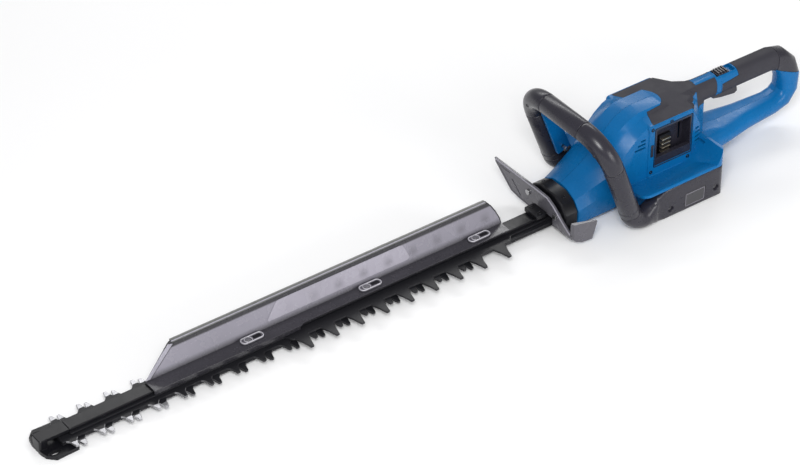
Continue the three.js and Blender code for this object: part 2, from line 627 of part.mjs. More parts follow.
function cutterBar() {
  const start = CASE_FRONT_X - GAP;
  const boltHole = (x) => slotHole(x, x, 0, 2.7);
  const outline = roundedOutline(BAR.end, start, -BAR.half, BAR.half, 2);
  let bar = prism(outline, "Z", ...LAYERS.bar, { bevel: BAR.bevel });
  for (const x of BOLT_XS) bar = bar.subtract(rod("Z", x, 0, 0, 2.7, 13, 16.6, 12));
  for (const x of GUARD_SCREWS) bar = bar.subtract(rod("Z", x, 0, 0, 1.8, 15, 19, 12));
  add("blade_bar", bar, BLACK);
  const comb = toothedOutline({
    front: BAR.end, rear: start, half: COMB.wide, tip: COMB.tip, firstX: COMB_TEETH_X,
    count: BIG_TEETH, tooth: COMB_TOOTH,
    waist: [
      [0, -COMB.half], [COMB.wideRear + 7, -COMB.half], [COMB.wideRear, -COMB.wide],
      [COMB.wideFront, -COMB.wide], [COMB.wideFront - 7, -COMB.half],
    ],
  });
  add("guard_comb", prism(comb, "Z", ...LAYERS.comb, { holes: BOLT_XS.map(boltHole) }), BLADE);
  const strip = roundedOutline(BAR.end, start, -14, 14, 2);
  add("backing_strip", prism(strip, "Z", ...LAYERS.backing, { holes: BOLT_XS.map(boltHole) }), BLADE);
  BOLT_XS.forEach((x, k) => {
    const bolt = rod("Z", x, 0, 0, 2.4, 2, 16.3, 16).add(rod("Z", x, 0, 0, 5, 0.6, 2.3, 6));
    add(`blade_bolt_${k + 1}`, bolt, STEEL);
  });
}

// A low shoe under the last teeth, a block round the blade ends and a tongue that carries on the bar.
function tipGuard() {
  const n = NOSE;
  const half = [
    [n.front, -10], [n.front + 2, -19], [n.front + 11, -n.half], [n.rear - 3, -n.half + 1],
    [n.rear, -n.half + 6], [n.rear, -15], [BAR.end - GAP, -15],
  ];
  const outline = [...half, ...half.map(([x, y]) => [x, -y]).reverse()];
  const eyes = [-NOSE_EYE.y, NOSE_EYE.y].map((y) => {
    const path = new THREE.Path();
    path.absellipse(NOSE_EYE.x, y, NOSE_EYE.long, NOSE_EYE.wide, 0, 2 * Math.PI);
    return path;
  });
  const shoe = prism(outline, "Z", 0, n.plate, { holes: eyes });
  const plan = roundedOutline(n.front, n.block, -n.blockHalf, n.blockHalf, 3);
  const block = prism(plan, "Z", 0, LAYERS.bar[1], { bevel: BAR.bevel });
  const tongue = box(n.block - 1, BAR.end - GAP, -BAR.half, BAR.half, LAYERS.bar[0], LAYERS.bar[1]);
  const x = (n.front + n.block) / 2;
  const guard = shoe.add(block).add(tongue).subtract(rod("Z", x, 0, 0, 3.3, -1, 2.4, 16));
  add("tip_guard", guard.subtract(rod("Z", x, 0, 0, 1.9, -1, 12, 12)), BLACK);
  add("tip_guard_screw", rod("Z", x, 0, 0, 1.6, 1, 11, 12).add(rod("Z", x, 0, 0, 3, 0.3, 2, 16)), STEEL);
}

// ---- guards ----
function cuttingsGuard() {
  const g = GUARD;
  const foot = [
    [g.front, -12.5], [g.step, -12.5], [g.step + 6, -9.5], [g.rear, -9.5], [g.rear, 9.5], [g.front, 9.5],
  ];
  const strip = prism(foot, "Z", LAYERS.bar[1] + GAP, GUARD_TOP);
  const lip = box(g.front, g.step, -12.5, -10.7, 14.6, GUARD_TOP);
  const bar = box(g.front, g.step, -10, 12, 10, LAYERS.bar[1] + GAP);
  const side = [
    [g.front, 0], [g.rear, 0], [g.rear - 1, 8], [g.rear - 5, 18], [g.rear - 10, 27], [g.topRear, g.height],
    [g.topFront, g.height],
  ];
  const geometry = new THREE.ExtrudeGeometry(shapeOf(side), { depth: g.panel, bevelEnabled: false });
  const up = new THREE.Vector3(0, Math.sin(GUARD_LEAN), Math.cos(GUARD_LEAN));
  const along = new THREE.Vector3(1, 0, 0);
  const place = new THREE.Matrix4().makeBasis(along, up, new THREE.Vector3().crossVectors(along, up));
  place.setPosition(0, 9.2, LAYERS.bar[1] + GAP + 0.4);
  const panel = solid(geometry.applyMatrix4(place));
  const rimShape = [[0, 0], [-4.5, 1.2], [-4.5, 3], [2.5, 3], [2.5, 0]];
  const rimY = 9.2 + g.height * Math.sin(GUARD_LEAN);
  const rimZ = 18.7 + g.height * Math.cos(GUARD_LEAN) - 2.4;
  const rim = prism(rimShape.map(([y, z]) => [rimY + y, rimZ + z]).reverse(), "X", g.topFront, g.topRear);
  let guard = strip.add(lip.subtract(bar)).add(panel).add(rim);
  for (const x of GUARD_SCREWS) {
    guard = guard
      .add(rod("Z", x, 0, 0, 5.5, 18.6, 21.8, 16))
      .subtract(rod("Z", x, 0, 0, 2.3, 10, 30, 12));
  }
  add("cuttings_guard", guard, SMOKE);
  GUARD_SCREWS.forEach((x, k) => {
    const screw = rod("Z", x, 0, 0, 1.5, 15.3, 22, 12).add(rod("Z", x, 0, 0, 3.6, 22.1, 23.6, 16));
    const drive = rod("Z", x, 0, 0, 1.5, 21.5, 22.6, 12);
    add(`cuttings_guard_screw_${k + 1}`, screw.add(drive), STEEL);
  });
  const patch = [[-532, 7.5], [-327, 7.5], [-332, 28], [-514, 28]];
  const label = new THREE.ExtrudeGeometry(shapeOf(patch), { depth: 0.4, bevelEnabled: false });
  const towardsBar = new THREE.Vector3().crossVectors(along, up);
  place.setPosition(new THREE.Vector3(0, 9.2, 18.7).addScaledVector(towardsBar, g.panel + GAP));
  add("guard_label", solid(label.applyMatrix4(place)), LABEL);
}

function handGuard() {
  const back = CASE_FRONT_X - HAND_GUARD.standOff;
  const front = back - HAND_GUARD.thick;
  const doorway = box(front - 5, back + 5, -20, 20, -1, 18.5);
  const plate = prism([...HAND_GUARD_WING].reverse(), "X", front, back).subtract(doorway);
  const wrap = [[front, -55], [front + 2, -60], [-103, -68], [-102.5, -65.2], [front + 3, -54]];
  const side = prism([...HAND_GUARD_FLAP].reverse(), "Y", -80, -50);
  const flap = prism(wrap.reverse(), "Z", 3, 31).intersect(side);
  let guard = plate.add(flap);
  for (const [y, z] of HAND_GUARD_SCREWS) {
    guard = guard
      .add(rod("X", 0, y, z, 5, back - 1, CASE_FRONT_X - GAP, 16))
      .subtract(rod("X", 0, y, z, 2.2, front - 1, CASE_FRONT_X + 1, 12));
  }
  const slot = prism([[62, 29], [59, 30], [41, 14.5], [44, 14]], "X", front - 1, back + 1);
  add("hand_guard", guard.subtract(slot), SMOKE);
  HAND_GUARD_SCREWS.forEach(([y, z], k) => {
    const head = rod("X", 0, y, z, 3.8, front - 2, front - 0.2, 16);
    const shank = rod("X", 0, y, z, 1.9, front - 1, CASE_FRONT_X - 0.5, 12);
    add(`hand_guard_screw_${k + 1}`, head.add(shank), STEEL);
  });
}

// ---- gear case, drive gear and motor ----
function gearCase() {
  const profile = [
    [-37, 0.3], [37, 0.3], [37, 28], [28.5, 40], [14, 47.5], [-14, 47.5], [-28.5, 40], [-37, 28],
  ];
  const head = prism(profile, "X", CASE_FRONT_X, CASE_REAR_X, { bevel: 1.5 });
  const flange = box(-124, CASE_REAR_X, -43, 43, 0.3, 8);
  const rear = box(-110, -39.5, -28, 28, 0.3, 25);
  const boss = rod("Z", GEAR_X, 0, 0, 14.5, 20, 31.5, 32);
  const cavity = box(-124.5, -43, -24.6, 24.6, 3.3, 21.5);
  const mouth = box(-130, -120, -18, 18, 5.3, 11.5);
  const whole = head
    .add(flange)
    .add(rear)
    .add(boss)
    .subtract(cavity)
    .subtract(mouth)
    .subtract(rod("Z", GEAR_X, 0, 0, 11.3, 20, 28.8, 32))
    .subtract(rod("Z", GEAR_X, 0, 0, 8.3, 1.2, 4, 24))
    .subtract(rod("Z", MOTOR_X, 0, 0, 4, 20, 26, 16));
  add("gear_case_bottom", whole.intersect(box(-200, 0, -50, 50, -1, 12)), BLACK);
  add("gear_case_top", whole.intersect(box(-200, 0, -50, 50, 12 + GAP, 60)), BLACK);
}

function gearOutline(teeth, turn) {
  const radius = (MODULE * teeth) / 2;
  const points = [];
  const step = (2 * Math.PI) / teeth;
  for (let k = 0; k < teeth; k += 1) {
    const middle = turn + step * k;
    for (const [side, r] of [[-0.27, -1.15], [-0.14, 0.8], [0.14, 0.8], [0.27, -1.15]]) {
      const a = middle + side * step;
      points.push([(radius + r * MODULE) * Math.cos(a), (radius + r * MODULE) * Math.sin(a)]);
    }
  }
  return points;
}

function ring(x, inside, outside, z0, z1) {
  return rod("Z", x, 0, 0, outside, z0, z1, 20).subtract(rod("Z", x, 0, 0, inside, z0 - 1, z1 + 1, 20));
}

function drive() {
  const restX = STROKE_AHEAD - CRANK; // the upper pin is this far behind the gear's axis at rest
  const restY = Math.sqrt(CRANK * CRANK - restX * restX);
  const gear = prism(gearOutline(GEAR_TEETH, 0).map(([x, y]) => [x + GEAR_X, y]), "Z", 9, 15)
    .add(rod("Z", GEAR_X, 0, 0, 4, 14, 28.3, 20))
    .add(rod("Z", GEAR_X, 0, 0, 3, 1.7, 10, 20))
    .add(rod("Z", GEAR_X + restX, restY, 0, 4, 14, 20.3, 20))
    .add(rod("Z", GEAR_X - restX, -restY, 0, 4, 5.2, 10, 20));
  add("drive_gear", gear, STEEL);
  add("gear_bearing_top", ring(GEAR_X, 4.3, 11, 22, 28.4), STEEL);
  add("gear_bearing_bottom", ring(GEAR_X, 3.3, 8, 1.5, 4.8), BRASS);
  const phase = Math.PI + Math.PI / PINION_TEETH;
  const rotor = prism(gearOutline(PINION_TEETH, phase).map(([x, y]) => [x + MOTOR_X, y]), "Z", 8.8, 15.2)
    .add(rod("Z", MOTOR_X, 0, 0, 2.4, 8.8, CAN.top + 4, 16))
    .add(rod("Z", MOTOR_X, 0, 0, CAN.radius - 2, CAN.top + 1, CAN.top + 4, 24));
  add("motor_rotor", rotor, STEEL);
  add("motor_can", ring(MOTOR_X, 3, CAN.radius, CAN.bottom, CAN.top), STEEL);
}

// ---- controls and electronics ----
function coil(x, z0, z1, radius, wire, turns) {
  class Helix extends THREE.Curve {
    getPoint(t) {
      const a = 2 * Math.PI * turns * t;
      return new THREE.Vector3(x + radius * Math.cos(a), radius * Math.sin(a), z0 + (z1 - z0) * t);
    }
  }
  const section = new THREE.Shape().absarc(0, 0, wire, 0, 2 * Math.PI);
  const options = { steps: 8 * turns, extrudePath: new Helix(), curveSegments: 3 };
  return solid(new THREE.ExtrudeGeometry(section, options));
}

function controls() {
  const pin = TRIGGER_PIN;
  const outline = [
    [123, 94], [122, 86], [129, 79.5], [141, 76.5], [164, 73.5], [168.5, 76.5], [167, 84], [166, 91],
    [150, 92.5], [132, 95],
  ];
  const finger = prism(outline, "Y", -6.3, 6.3, { bevel: 0.8 });
  add("trigger", finger.subtract(rod("Y", pin.x, 0, pin.z, 1.9, -9, 9, 12)), DARK);
  add("trigger_pin", rod("Y", pin.x, 0, pin.z, 1.6, -7.4, 7.4, 12), STEEL);
  add("trigger_spring", coil(158, 93.3, 98.4, 2.2, 0.5, 3), STEEL);
  add("trigger_switch", box(146, 166, -5.5, 5.5, 99.2, 105.2), BLACK);
  let slider = box(133, 151, -7, 7, 110.1, 113.6);
  for (let k = 0; k < 4; k += 1) slider = slider.add(box(135 + 4 * k, 137 + 4 * k, -6, 6, 113, 115.4));
  add("lock_slider", slider, DARK);
  add("control_board", box(0, 60, -20, 20, 44, 45.6), GREEN);
  add("front_switch", box(-30, -14, 16, 32, 20, 34), BLACK);
}

housing();
bays();
base();
frontHandle();
switchLever();
blades();
cutterBar();
tipGuard();
cuttingsGuard();
handGuard();
gearCase();
drive();
controls();

export default trimmer;
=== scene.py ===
import json
import math

import bmesh
import bpy
from mathutils import Matrix, Vector


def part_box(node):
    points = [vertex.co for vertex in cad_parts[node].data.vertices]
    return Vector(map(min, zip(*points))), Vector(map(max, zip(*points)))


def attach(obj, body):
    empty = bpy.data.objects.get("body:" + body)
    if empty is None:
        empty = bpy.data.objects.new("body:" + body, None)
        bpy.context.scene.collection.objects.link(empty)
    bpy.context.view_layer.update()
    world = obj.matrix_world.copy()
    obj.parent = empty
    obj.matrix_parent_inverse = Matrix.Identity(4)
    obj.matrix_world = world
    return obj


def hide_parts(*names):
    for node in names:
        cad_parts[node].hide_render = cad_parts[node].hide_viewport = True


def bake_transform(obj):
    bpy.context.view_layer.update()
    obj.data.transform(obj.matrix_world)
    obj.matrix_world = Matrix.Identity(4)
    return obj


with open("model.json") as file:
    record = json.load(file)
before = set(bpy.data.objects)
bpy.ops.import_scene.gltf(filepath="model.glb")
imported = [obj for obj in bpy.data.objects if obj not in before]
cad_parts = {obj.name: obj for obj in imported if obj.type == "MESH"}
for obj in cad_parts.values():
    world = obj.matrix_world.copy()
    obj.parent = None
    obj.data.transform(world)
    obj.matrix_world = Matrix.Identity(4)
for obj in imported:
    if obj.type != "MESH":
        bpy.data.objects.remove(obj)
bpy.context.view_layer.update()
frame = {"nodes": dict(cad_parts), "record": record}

MM = 0.001


# ---- materials ----
TOOTH_PITCH = 0.036  # metres
GUARD_TOOTH_X = 0.213  # metres from the origin to a tooth behind the guard


class Nodes:
    """A material's node tree, with short calls to add and join nodes."""

    def __init__(self, name):
        self.material = bpy.data.materials.new(name)
        self.material.use_nodes = True
        self.tree = self.material.node_tree
        self.shader = self.tree.nodes["Principled BSDF"]
        self.place = self.add("ShaderNodeTexCoord").outputs["Object"]

    def add(self, kind, **values):
        node = self.tree.nodes.new(kind)
        for key, value in values.items():
            setattr(node, key, value)
        return node

    def link(self, output, target):
        self.tree.links.new(output, target)

    def set(self, **values):
        for key, value in values.items():
            self.shader.inputs[key.replace("_", " ")].default_value = value

    def noise(self, scale, detail=3.0, rough=0.55, stretch=None):
        source = self.place
        if stretch:
            mapping = self.add("ShaderNodeMapping")
            mapping.inputs["Scale"].default_value = stretch
            self.link(source, mapping.inputs["Vector"])
            source = mapping.outputs["Vector"]
        node = self.add("ShaderNodeTexNoise")
        node.inputs["Scale"].default_value = scale
        node.inputs["Detail"].default_value = detail
        node.inputs["Roughness"].default_value = rough
        self.link(source, node.inputs["Vector"])
        return node.outputs["Fac"]

    def ramp(self, value, low, high, start=0.3, end=0.7):
        node = self.add("ShaderNodeMapRange")
        node.inputs["From Min"].default_value = start
        node.inputs["From Max"].default_value = end
        node.inputs["To Min"].default_value = low
        node.inputs["To Max"].default_value = high
        self.link(value, node.inputs["Value"])
        return node.outputs["Result"]

    def math(self, operation, a, b):
        node = self.add("ShaderNodeMath", operation=operation)
        for socket, value in zip(node.inputs, (a, b)):
            if isinstance(value, float):
                socket.default_value = value
            else:
                self.link(value, socket)
        return node.outputs["Value"]

    def axis(self, vector, name):
        node = self.add("ShaderNodeSeparateXYZ")
        self.link(vector, node.inputs["Vector"])
        return node.outputs[name]

    def mix(self, factor, a, b):
        node = self.add("ShaderNodeMix", data_type="RGBA")
        self.link(factor, node.inputs["Factor"])
        for socket, value in ((node.inputs[6], a), (node.inputs[7], b)):
            if isinstance(value, tuple):
                socket.default_value = (*value, 1.0)
            else:
                self.link(value, socket)
        return node.outputs[2]

    def bump(self, height, strength, distance):
        node = self.add("ShaderNodeBump")
        node.inputs["Strength"].default_value = strength
        node.inputs["Distance"].default_value = distance
        self.link(height, node.inputs["Height"])
        corner = self.add("ShaderNodeBevel", samples=4)
        corner.inputs["Radius"].default_value = 0.0005
        self.link(corner.outputs["Normal"], node.inputs["Normal"])
        self.link(node.outputs["Normal"], self.shader.inputs["Normal"])


def shade(colour, factor):
    return tuple(channel * factor for channel in colour)


def plastic(name, colour, roughness, grain=2600.0, depth=0.25, shine=0.4, spread=0.1):
    """Moulded plastic: a fine spark texture, broad colour drift and handling marks."""
    n = Nodes(name)
    drift = n.ramp(n.noise(9.0), 0.0, 1.0)
    body = n.mix(drift, shade(colour, 1.0 - spread), shade(colour, 1.0 + spread))
    dust = n.ramp(n.noise(420.0, 6.0, 0.7), 0.0, 0.22, 0.62, 0.8)
    n.link(n.mix(dust, body, tuple(c * 1.3 + 0.012 for c in colour)), n.shader.inputs["Base Color"])
    marks = n.ramp(n.noise(60.0, 5.0), roughness - 0.06, roughness + 0.08)
    n.link(marks, n.shader.inputs["Roughness"])
    n.bump(n.noise(grain, 2.0), depth, 0.00004)
    n.set(Specular_IOR_Level=shine)
    return n.material


def metal(name, colour, roughness, stretch=(1.0, 14.0, 14.0), spread=0.18):
    """Ground or brushed metal, with fine lines along one axis."""
    n = Nodes(name)
    lines = n.noise(260.0, 4.0, 0.7, stretch)
    body = n.mix(n.ramp(lines, 0.0, 1.0), shade(colour, 1.0 - spread), shade(colour, 1.0 + spread))
    n.link(body, n.shader.inputs["Base Color"])
    n.link(n.ramp(lines, roughness - 0.08, roughness + 0.12), n.shader.inputs["Roughness"])
    n.bump(lines, 0.15, 0.00003)
    n.set(Metallic=1.0)
    return n.material


def blade_metal(name):
    """Black coated steel, ground bright on the cutting flanks and over the teeth near the nose."""
    n = Nodes(name)
    lines = n.noise(300.0, 4.0, 0.7, (14.0, 1.0, 1.0))
    reach = n.math("ABSOLUTE", n.axis(n.place, "Y"), 0.0)
    along = n.axis(n.place, "X")
    rough_line = n.math("MULTIPLY", n.noise(220.0), 0.002)
    worn = n.math("GREATER_THAN", n.math("ADD", reach, rough_line), 0.0235)
    nose = n.math("LESS_THAN", along, -0.692)
    upright = n.axis(n.add("ShaderNodeNewGeometry").outputs["True Normal"], "Z")
    flank = n.math("LESS_THAN", n.math("ABSOLUTE", upright, 0.0), 0.93)
    toothed = n.math("GREATER_THAN", reach, 0.0176)
    ground = n.math("MULTIPLY", flank, toothed)
    shown = n.ramp(along, 0.55, 0.03, -0.70, -0.62)
    bright = n.math("MAXIMUM", n.math("MULTIPLY", ground, shown), n.math("MULTIPLY", worn, nose))
    coat = n.mix(n.ramp(lines, 0.0, 1.0), (0.009, 0.009, 0.011), (0.015, 0.015, 0.018))
    steel = n.mix(n.ramp(lines, 0.0, 1.0), (0.34, 0.34, 0.36), (0.56, 0.56, 0.58))
    n.link(n.mix(bright, coat, steel), n.shader.inputs["Base Color"])
    n.link(n.math("MULTIPLY", bright, 0.9), n.shader.inputs["Metallic"])
    n.link(n.ramp(lines, 0.26, 0.44), n.shader.inputs["Roughness"])
    n.bump(lines, 0.12, 0.00003)
    n.set(Specular_IOR_Level=0.22)
    return n.material


def smoky(name, dark, light):
    """Smoky moulding, dark at its foot (its own dark skirt, with painted shade over the foot and the panel's
    lower edge) and darker under its rim, with the teeth behind it showing faintly.
    """
    n = Nodes(name)
    height = n.axis(n.place, "Z")
    # Painted shade: the foot fades into the dark colour over the skirt and the panel's lowest band; the band
    # under the rim is darker too.
    foot = n.ramp(height, 0.0, 1.0, 0.0198, 0.0275)
    rim = n.ramp(height, 1.0, 0.0, 0.0446, 0.0462)
    clear_between_dark_bands = n.math("MULTIPLY", foot, rim)
    cloud = n.ramp(n.noise(7.0, 1.0), 0.0, 1.0)
    along = n.axis(n.place, "X")
    turns = n.math("MULTIPLY", n.math("ADD", along, GUARD_TOOTH_X), 2 * math.pi / TOOTH_PITCH)
    teeth = n.ramp(n.math("COSINE", turns, 0.0), 0.0, 1.0, 0.1, 1.0)
    rising = n.ramp(height, 0.0, 1.0, 0.0255, 0.0325)
    falling = n.ramp(height, 1.0, 0.0, 0.0335, 0.0425)
    shadow = n.math("MULTIPLY", n.math("MULTIPLY", teeth, rising), falling)
    wide_part = n.ramp(along, 0.0, 0.5, -0.53, -0.42)
    seen = n.math("MULTIPLY", shadow, wide_part)
    clear = n.mix(seen, n.mix(cloud, shade(light, 0.9), shade(light, 1.08)), shade(light, 0.42))
    n.link(n.mix(clear_between_dark_bands, dark, clear), n.shader.inputs["Base Color"])
    n.link(n.ramp(n.noise(90.0, 3.0), 0.22, 0.30), n.shader.inputs["Roughness"])
    n.bump(n.noise(1500.0, 2.0), 0.03, 0.00003)
    n.set(Specular_IOR_Level=0.5)
    return n.material


MATERIALS = {
    "blue_plastic": plastic("blue_plastic", (0.0025, 0.120, 0.330), 0.27, depth=0.12, shine=0.2),
    "soft_grip": plastic("soft_grip", (0.034, 0.033, 0.042), 0.58, grain=1800.0, depth=0.55, shine=0.25),
    "dark_plastic": plastic("dark_plastic", (0.021, 0.020, 0.029), 0.28, grain=3000.0, depth=0.12,
                            shine=0.42),
    "black_plastic": plastic("black_plastic", (0.006, 0.006, 0.008), 0.32, grain=2600.0, shine=0.3),
    "smoky_guard": smoky("smoky_guard", (0.022, 0.021, 0.026), (0.222, 0.212, 0.252)),
    "blank_label": smoky("blank_label", (0.30, 0.285, 0.335), (0.30, 0.285, 0.335)),
    "steel": metal("steel", (0.42, 0.42, 0.43), 0.3),
    "blade_steel": blade_metal("blade_steel"),
    "contact_brass": metal("contact_brass", (0.62, 0.56, 0.44), 0.3, (14.0, 14.0, 1.0)),
    "circuit_board": plastic("circuit_board", (0.02, 0.09, 0.04), 0.4),
}
HAND_GUARD = plastic("hand_guard_plastic", (0.100, 0.097, 0.112), 0.24, grain=1500.0, depth=0.06, shine=0.5)
GUARD_RIM = plastic("guard_rim", (0.125, 0.128, 0.122), 0.3, grain=1500.0, depth=0.05, shine=0.5)
# A light grey that paints the highlights on the guard bosses' lips and screw rings.
GLINT = plastic("guard_glint", (0.42, 0.41, 0.45), 0.18, grain=1500.0, depth=0.04, shine=0.8)
GUARD_EDGE = plastic("guard_edge", (0.30, 0.29, 0.34), 0.2, grain=1500.0, depth=0.05, shine=0.5)
DARK_SCREW = metal("dark_screw", (0.05, 0.05, 0.055), 0.34)
PLATE_FACE = plastic("plate_face", (0.045, 0.045, 0.05), 0.3, grain=1500.0, depth=0.05)
SLOT_OF = {row["node"]: row["material_slot"] for row in frame["record"]["subparts"]}


# ---- stage ----
AZIMUTH, ELEVATION = math.radians(-35.97), math.radians(37.46)
EYE = Vector((-2.1026, -2.4169, 2.3693))
LENS = 144.0


def camera():
    data = bpy.data.cameras.new("camera")
    data.lens = LENS
    data.sensor_width = 36.0
    data.clip_end = 50.0
    cam = bpy.data.objects.new("camera", data)
    bpy.context.scene.collection.objects.link(cam)
    flat = math.cos(ELEVATION)
    back = Vector((math.sin(AZIMUTH) * flat, -math.cos(AZIMUTH) * flat, math.sin(ELEVATION)))
    cam.location = EYE
    cam.rotation_mode = "QUATERNION"
    cam.rotation_quaternion = (-back).to_track_quat("-Z", "Y")
    bpy.context.scene.camera = cam


def light(name, place, target, size, power):
    data = bpy.data.lights.new(name, "AREA")
    data.shape = "RECTANGLE"
    data.size, data.size_y = size
    data.energy = power
    lamp = bpy.data.objects.new(name, data)
    bpy.context.scene.collection.objects.link(lamp)
    lamp.location = place
    aim = Vector(target) - Vector(place)
    lamp.rotation_mode = "QUATERNION"
    lamp.rotation_quaternion = aim.to_track_quat("-Z", "Y")


def studio():
    bpy.ops.mesh.primitive_plane_add(size=12.0, location=(0, 0, -0.0006))
    floor = bpy.context.object
    floor.name = "floor"
    n = Nodes("floor")
    n.link(n.ramp(n.noise(3.0), 0.62, 0.68), n.shader.inputs["Roughness"])
    n.set(Base_Color=(0.93, 0.93, 0.935, 1.0), Specular_IOR_Level=0.1)
    floor.data.materials.append(n.material)
    world = bpy.data.worlds.new("studio")
    world.use_nodes = True
    world.node_tree.nodes["Background"].inputs["Color"].default_value = (1.0, 1.0, 1.0, 1.0)
    world.node_tree.nodes["Background"].inputs["Strength"].default_value = 0.44
    bpy.context.scene.world = world
    bpy.context.scene.view_settings.view_transform = "Standard"
    middle = (-0.25, 0.0, 0.05)
    light("key", (-1.5, -1.5, 2.0), middle, (0.9, 0.9), 50.0)
    light("back_strip", (0.9, 1.6, 1.5), middle, (2.4, 0.35), 21.0)
    light("fill", (0.6, -2.4, 0.9), middle, (1.4, 0.9), 24.0)


# ---- building blocks ----
def put(name, bm, slot, node=None, material=None, bevel=0.3, segments=2, angle=35.0):
    """Turn a bmesh in metres into a named piece that rides on the housing and may stand for a CAD node."""
    bmesh.ops.remove_doubles(bm, verts=bm.verts, dist=2e-6)
    bmesh.ops.recalc_face_normals(bm, faces=bm.faces)
    mesh = bpy.data.meshes.new(name)
    bm.to_mesh(mesh)
    bm.free()
    mesh.materials.append(material or MATERIALS[slot])
    piece = bpy.data.objects.new(name, mesh)
    bpy.context.scene.collection.objects.link(piece)
    round_edges(piece, bevel, segments, angle)
    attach(piece, "housing")
    if node:
        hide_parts(node)
    return piece


def round_edges(piece, bevel, segments, angle):
    mesh = piece.data
    mesh.shade_smooth()
    mesh.set_sharp_from_angle(angle=math.radians(angle))
    if bevel:
        edge = piece.modifiers.new("edge", "BEVEL")
        edge.width = bevel * MM
        edge.segments = segments
        edge.limit_method = "ANGLE"
        edge.angle_limit = math.radians(angle)
        edge.harden_normals = True
        edge.use_clamp_overlap = bevel > 0.5


def skin(rings):
    """A closed skin over rings of points in mm."""
    bm = bmesh.new()
    rows = [[bm.verts.new(Vector(p) * MM) for p in ring] for ring in rings]
    for low, high in zip(rows, rows[1:]):
        for k in range(len(low)):
            after = (k + 1) % len(low)
            bm.faces.new((low[k], low[after], high[after], high[k]))
    bm.faces.new(list(reversed(rows[0])))
    bm.faces.new(rows[-1])
    return bm


def lathe(profile, place, sides=32, lobes=None):
    """A turned solid from (radius, height) pairs in mm. `lobes` makes the rings past its index hexagonal."""
    rings = []
    for index, (radius, height) in enumerate(profile):
        ring = []
        for k in range(sides):
            a = 2 * math.pi * k / sides
            r = radius
            if lobes is not None and index >= lobes:
                r = radius / max(math.cos((a + math.pi / 6) % (math.pi / 3) - math.pi / 6), 0.5)
            ring.append(place @ Vector((r * math.cos(a), r * math.sin(a), height)))
        rings.append(ring)
    return skin(rings)


def plate(outline, place, low, high):
    """A flat plate: a (u, v) outline in mm, drawn by `place` and filled from height `low` to `high`."""
    return skin([[place @ Vector((u, v, w)) for u, v in outline] for w in (low, high)])


def basis(origin, u, v):
    """The matrix that takes (u, v, w) in mm to the frame, with w across u and v."""
    u, v = Vector(u).normalized(), Vector(v).normalized()
    w = u.cross(v)
    matrix = Matrix((u, v, w)).transposed().to_4x4()
    matrix.translation = Vector(origin)
    return matrix


def rounded(u0, u1, v0, v1, radius, steps=6):
    """The outline of a rectangle with round corners."""
    points = []
    corners = ((u1 - radius, v1 - radius, 0), (u0 + radius, v1 - radius, 1),
               (u0 + radius, v0 + radius, 2), (u1 - radius, v0 + radius, 3))
    for u, v, quarter in corners:
        for k in range(steps + 1):
            a = math.pi / 2 * (quarter + k / steps)
            points.append((u + radius * math.cos(a), v + radius * math.sin(a)))
    return points


def squared(angle, width, height, power):
    """A point of an ellipse that is squarer the higher its power is."""
    c, s = math.cos(angle), math.sin(angle)
    across = width * math.copysign(abs(c) ** (2 / power), c)
    up = height * math.copysign(abs(s) ** (2 / power), s)
    return across, up


def bead(name, points, radius, slot, material=None, closed=False):
    """A slim round moulding along points in mm."""
    curve = bpy.data.curves.new(name + "_path", "CURVE")
    curve.dimensions = "3D"
    curve.bevel_depth = radius * MM
    curve.bevel_resolution = 3
    curve.use_fill_caps = True
    spline = curve.splines.new("POLY")
    spline.points.add(len(points) - 1)
    for target, point in zip(spline.points, points):
        target.co = (*(Vector(point) * MM), 1.0)
    spline.use_cyclic_u = closed
    path = bpy.data.objects.new(name + "_path", curve)
    bpy.context.scene.collection.objects.link(path)
    mesh = bpy.data.meshes.new_from_object(path.evaluated_get(bpy.context.evaluated_depsgraph_get()))
    bpy.data.objects.remove(path)
    bm = bmesh.new()
    bm.from_mesh(mesh)
    bpy.data.meshes.remove(mesh)
    return put(name, bm, slot, material=material, bevel=0.0, angle=60.0)


def cut(bm, cutters):
    """Take the cutters, each a bmesh, away from a bmesh."""
    objects = []
    for k, part in enumerate([bm, *cutters]):
        bmesh.ops.recalc_face_normals(part, faces=part.faces)
        mesh = bpy.data.meshes.new(f"cut_{k}")
        part.to_mesh(mesh)
        part.free()
        objects.append(bpy.data.objects.new(f"cut_{k}", mesh))
        bpy.context.scene.collection.objects.link(objects[-1])
    for cutter in objects[1:]:
        modifier = objects[0].modifiers.new("cut", "BOOLEAN")
        modifier.operation = "DIFFERENCE"
        modifier.solver = "EXACT"
        modifier.object = cutter
    whole = objects[0].evaluated_get(bpy.context.evaluated_depsgraph_get())
    result = bmesh.new()
    result.from_mesh(bpy.data.meshes.new_from_object(whole))
    for part in objects:
        bpy.data.objects.remove(part)
    return result


def screw(name, centre, direction, radius, material=None):
    """A round head with a raised rim and a hexagonal socket, on the surface at `centre`."""
    normal = Vector(direction).normalized()
    side = normal.orthogonal().normalized()
    place = basis(centre, side, normal.cross(side))
    profile = [(1.0, -0.6), (1.0, 0.25), (0.9, 0.45), (0.62, 0.5), (0.52, 0.42), (0.46, -0.3), (0.1, -0.35)]
    shaped = [(r * radius, h * min(radius, 2.0)) for r, h in profile]
    return put(name, lathe(shaped, place, 36, lobes=5), "steel", material=material, bevel=0.0)


def follow(piece, node):
    """The piece moves with its CAD node's body. The trigger's spring, which sits squeezed between two
    bodies, is left on no body, with its transform baked in.
    """
    if node == "trigger_spring":
        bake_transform(piece)
        return
    bodies = frame["record"]["behaviour"]["bodies"]
    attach(piece, next(body for body, members in bodies.items() if node in members))


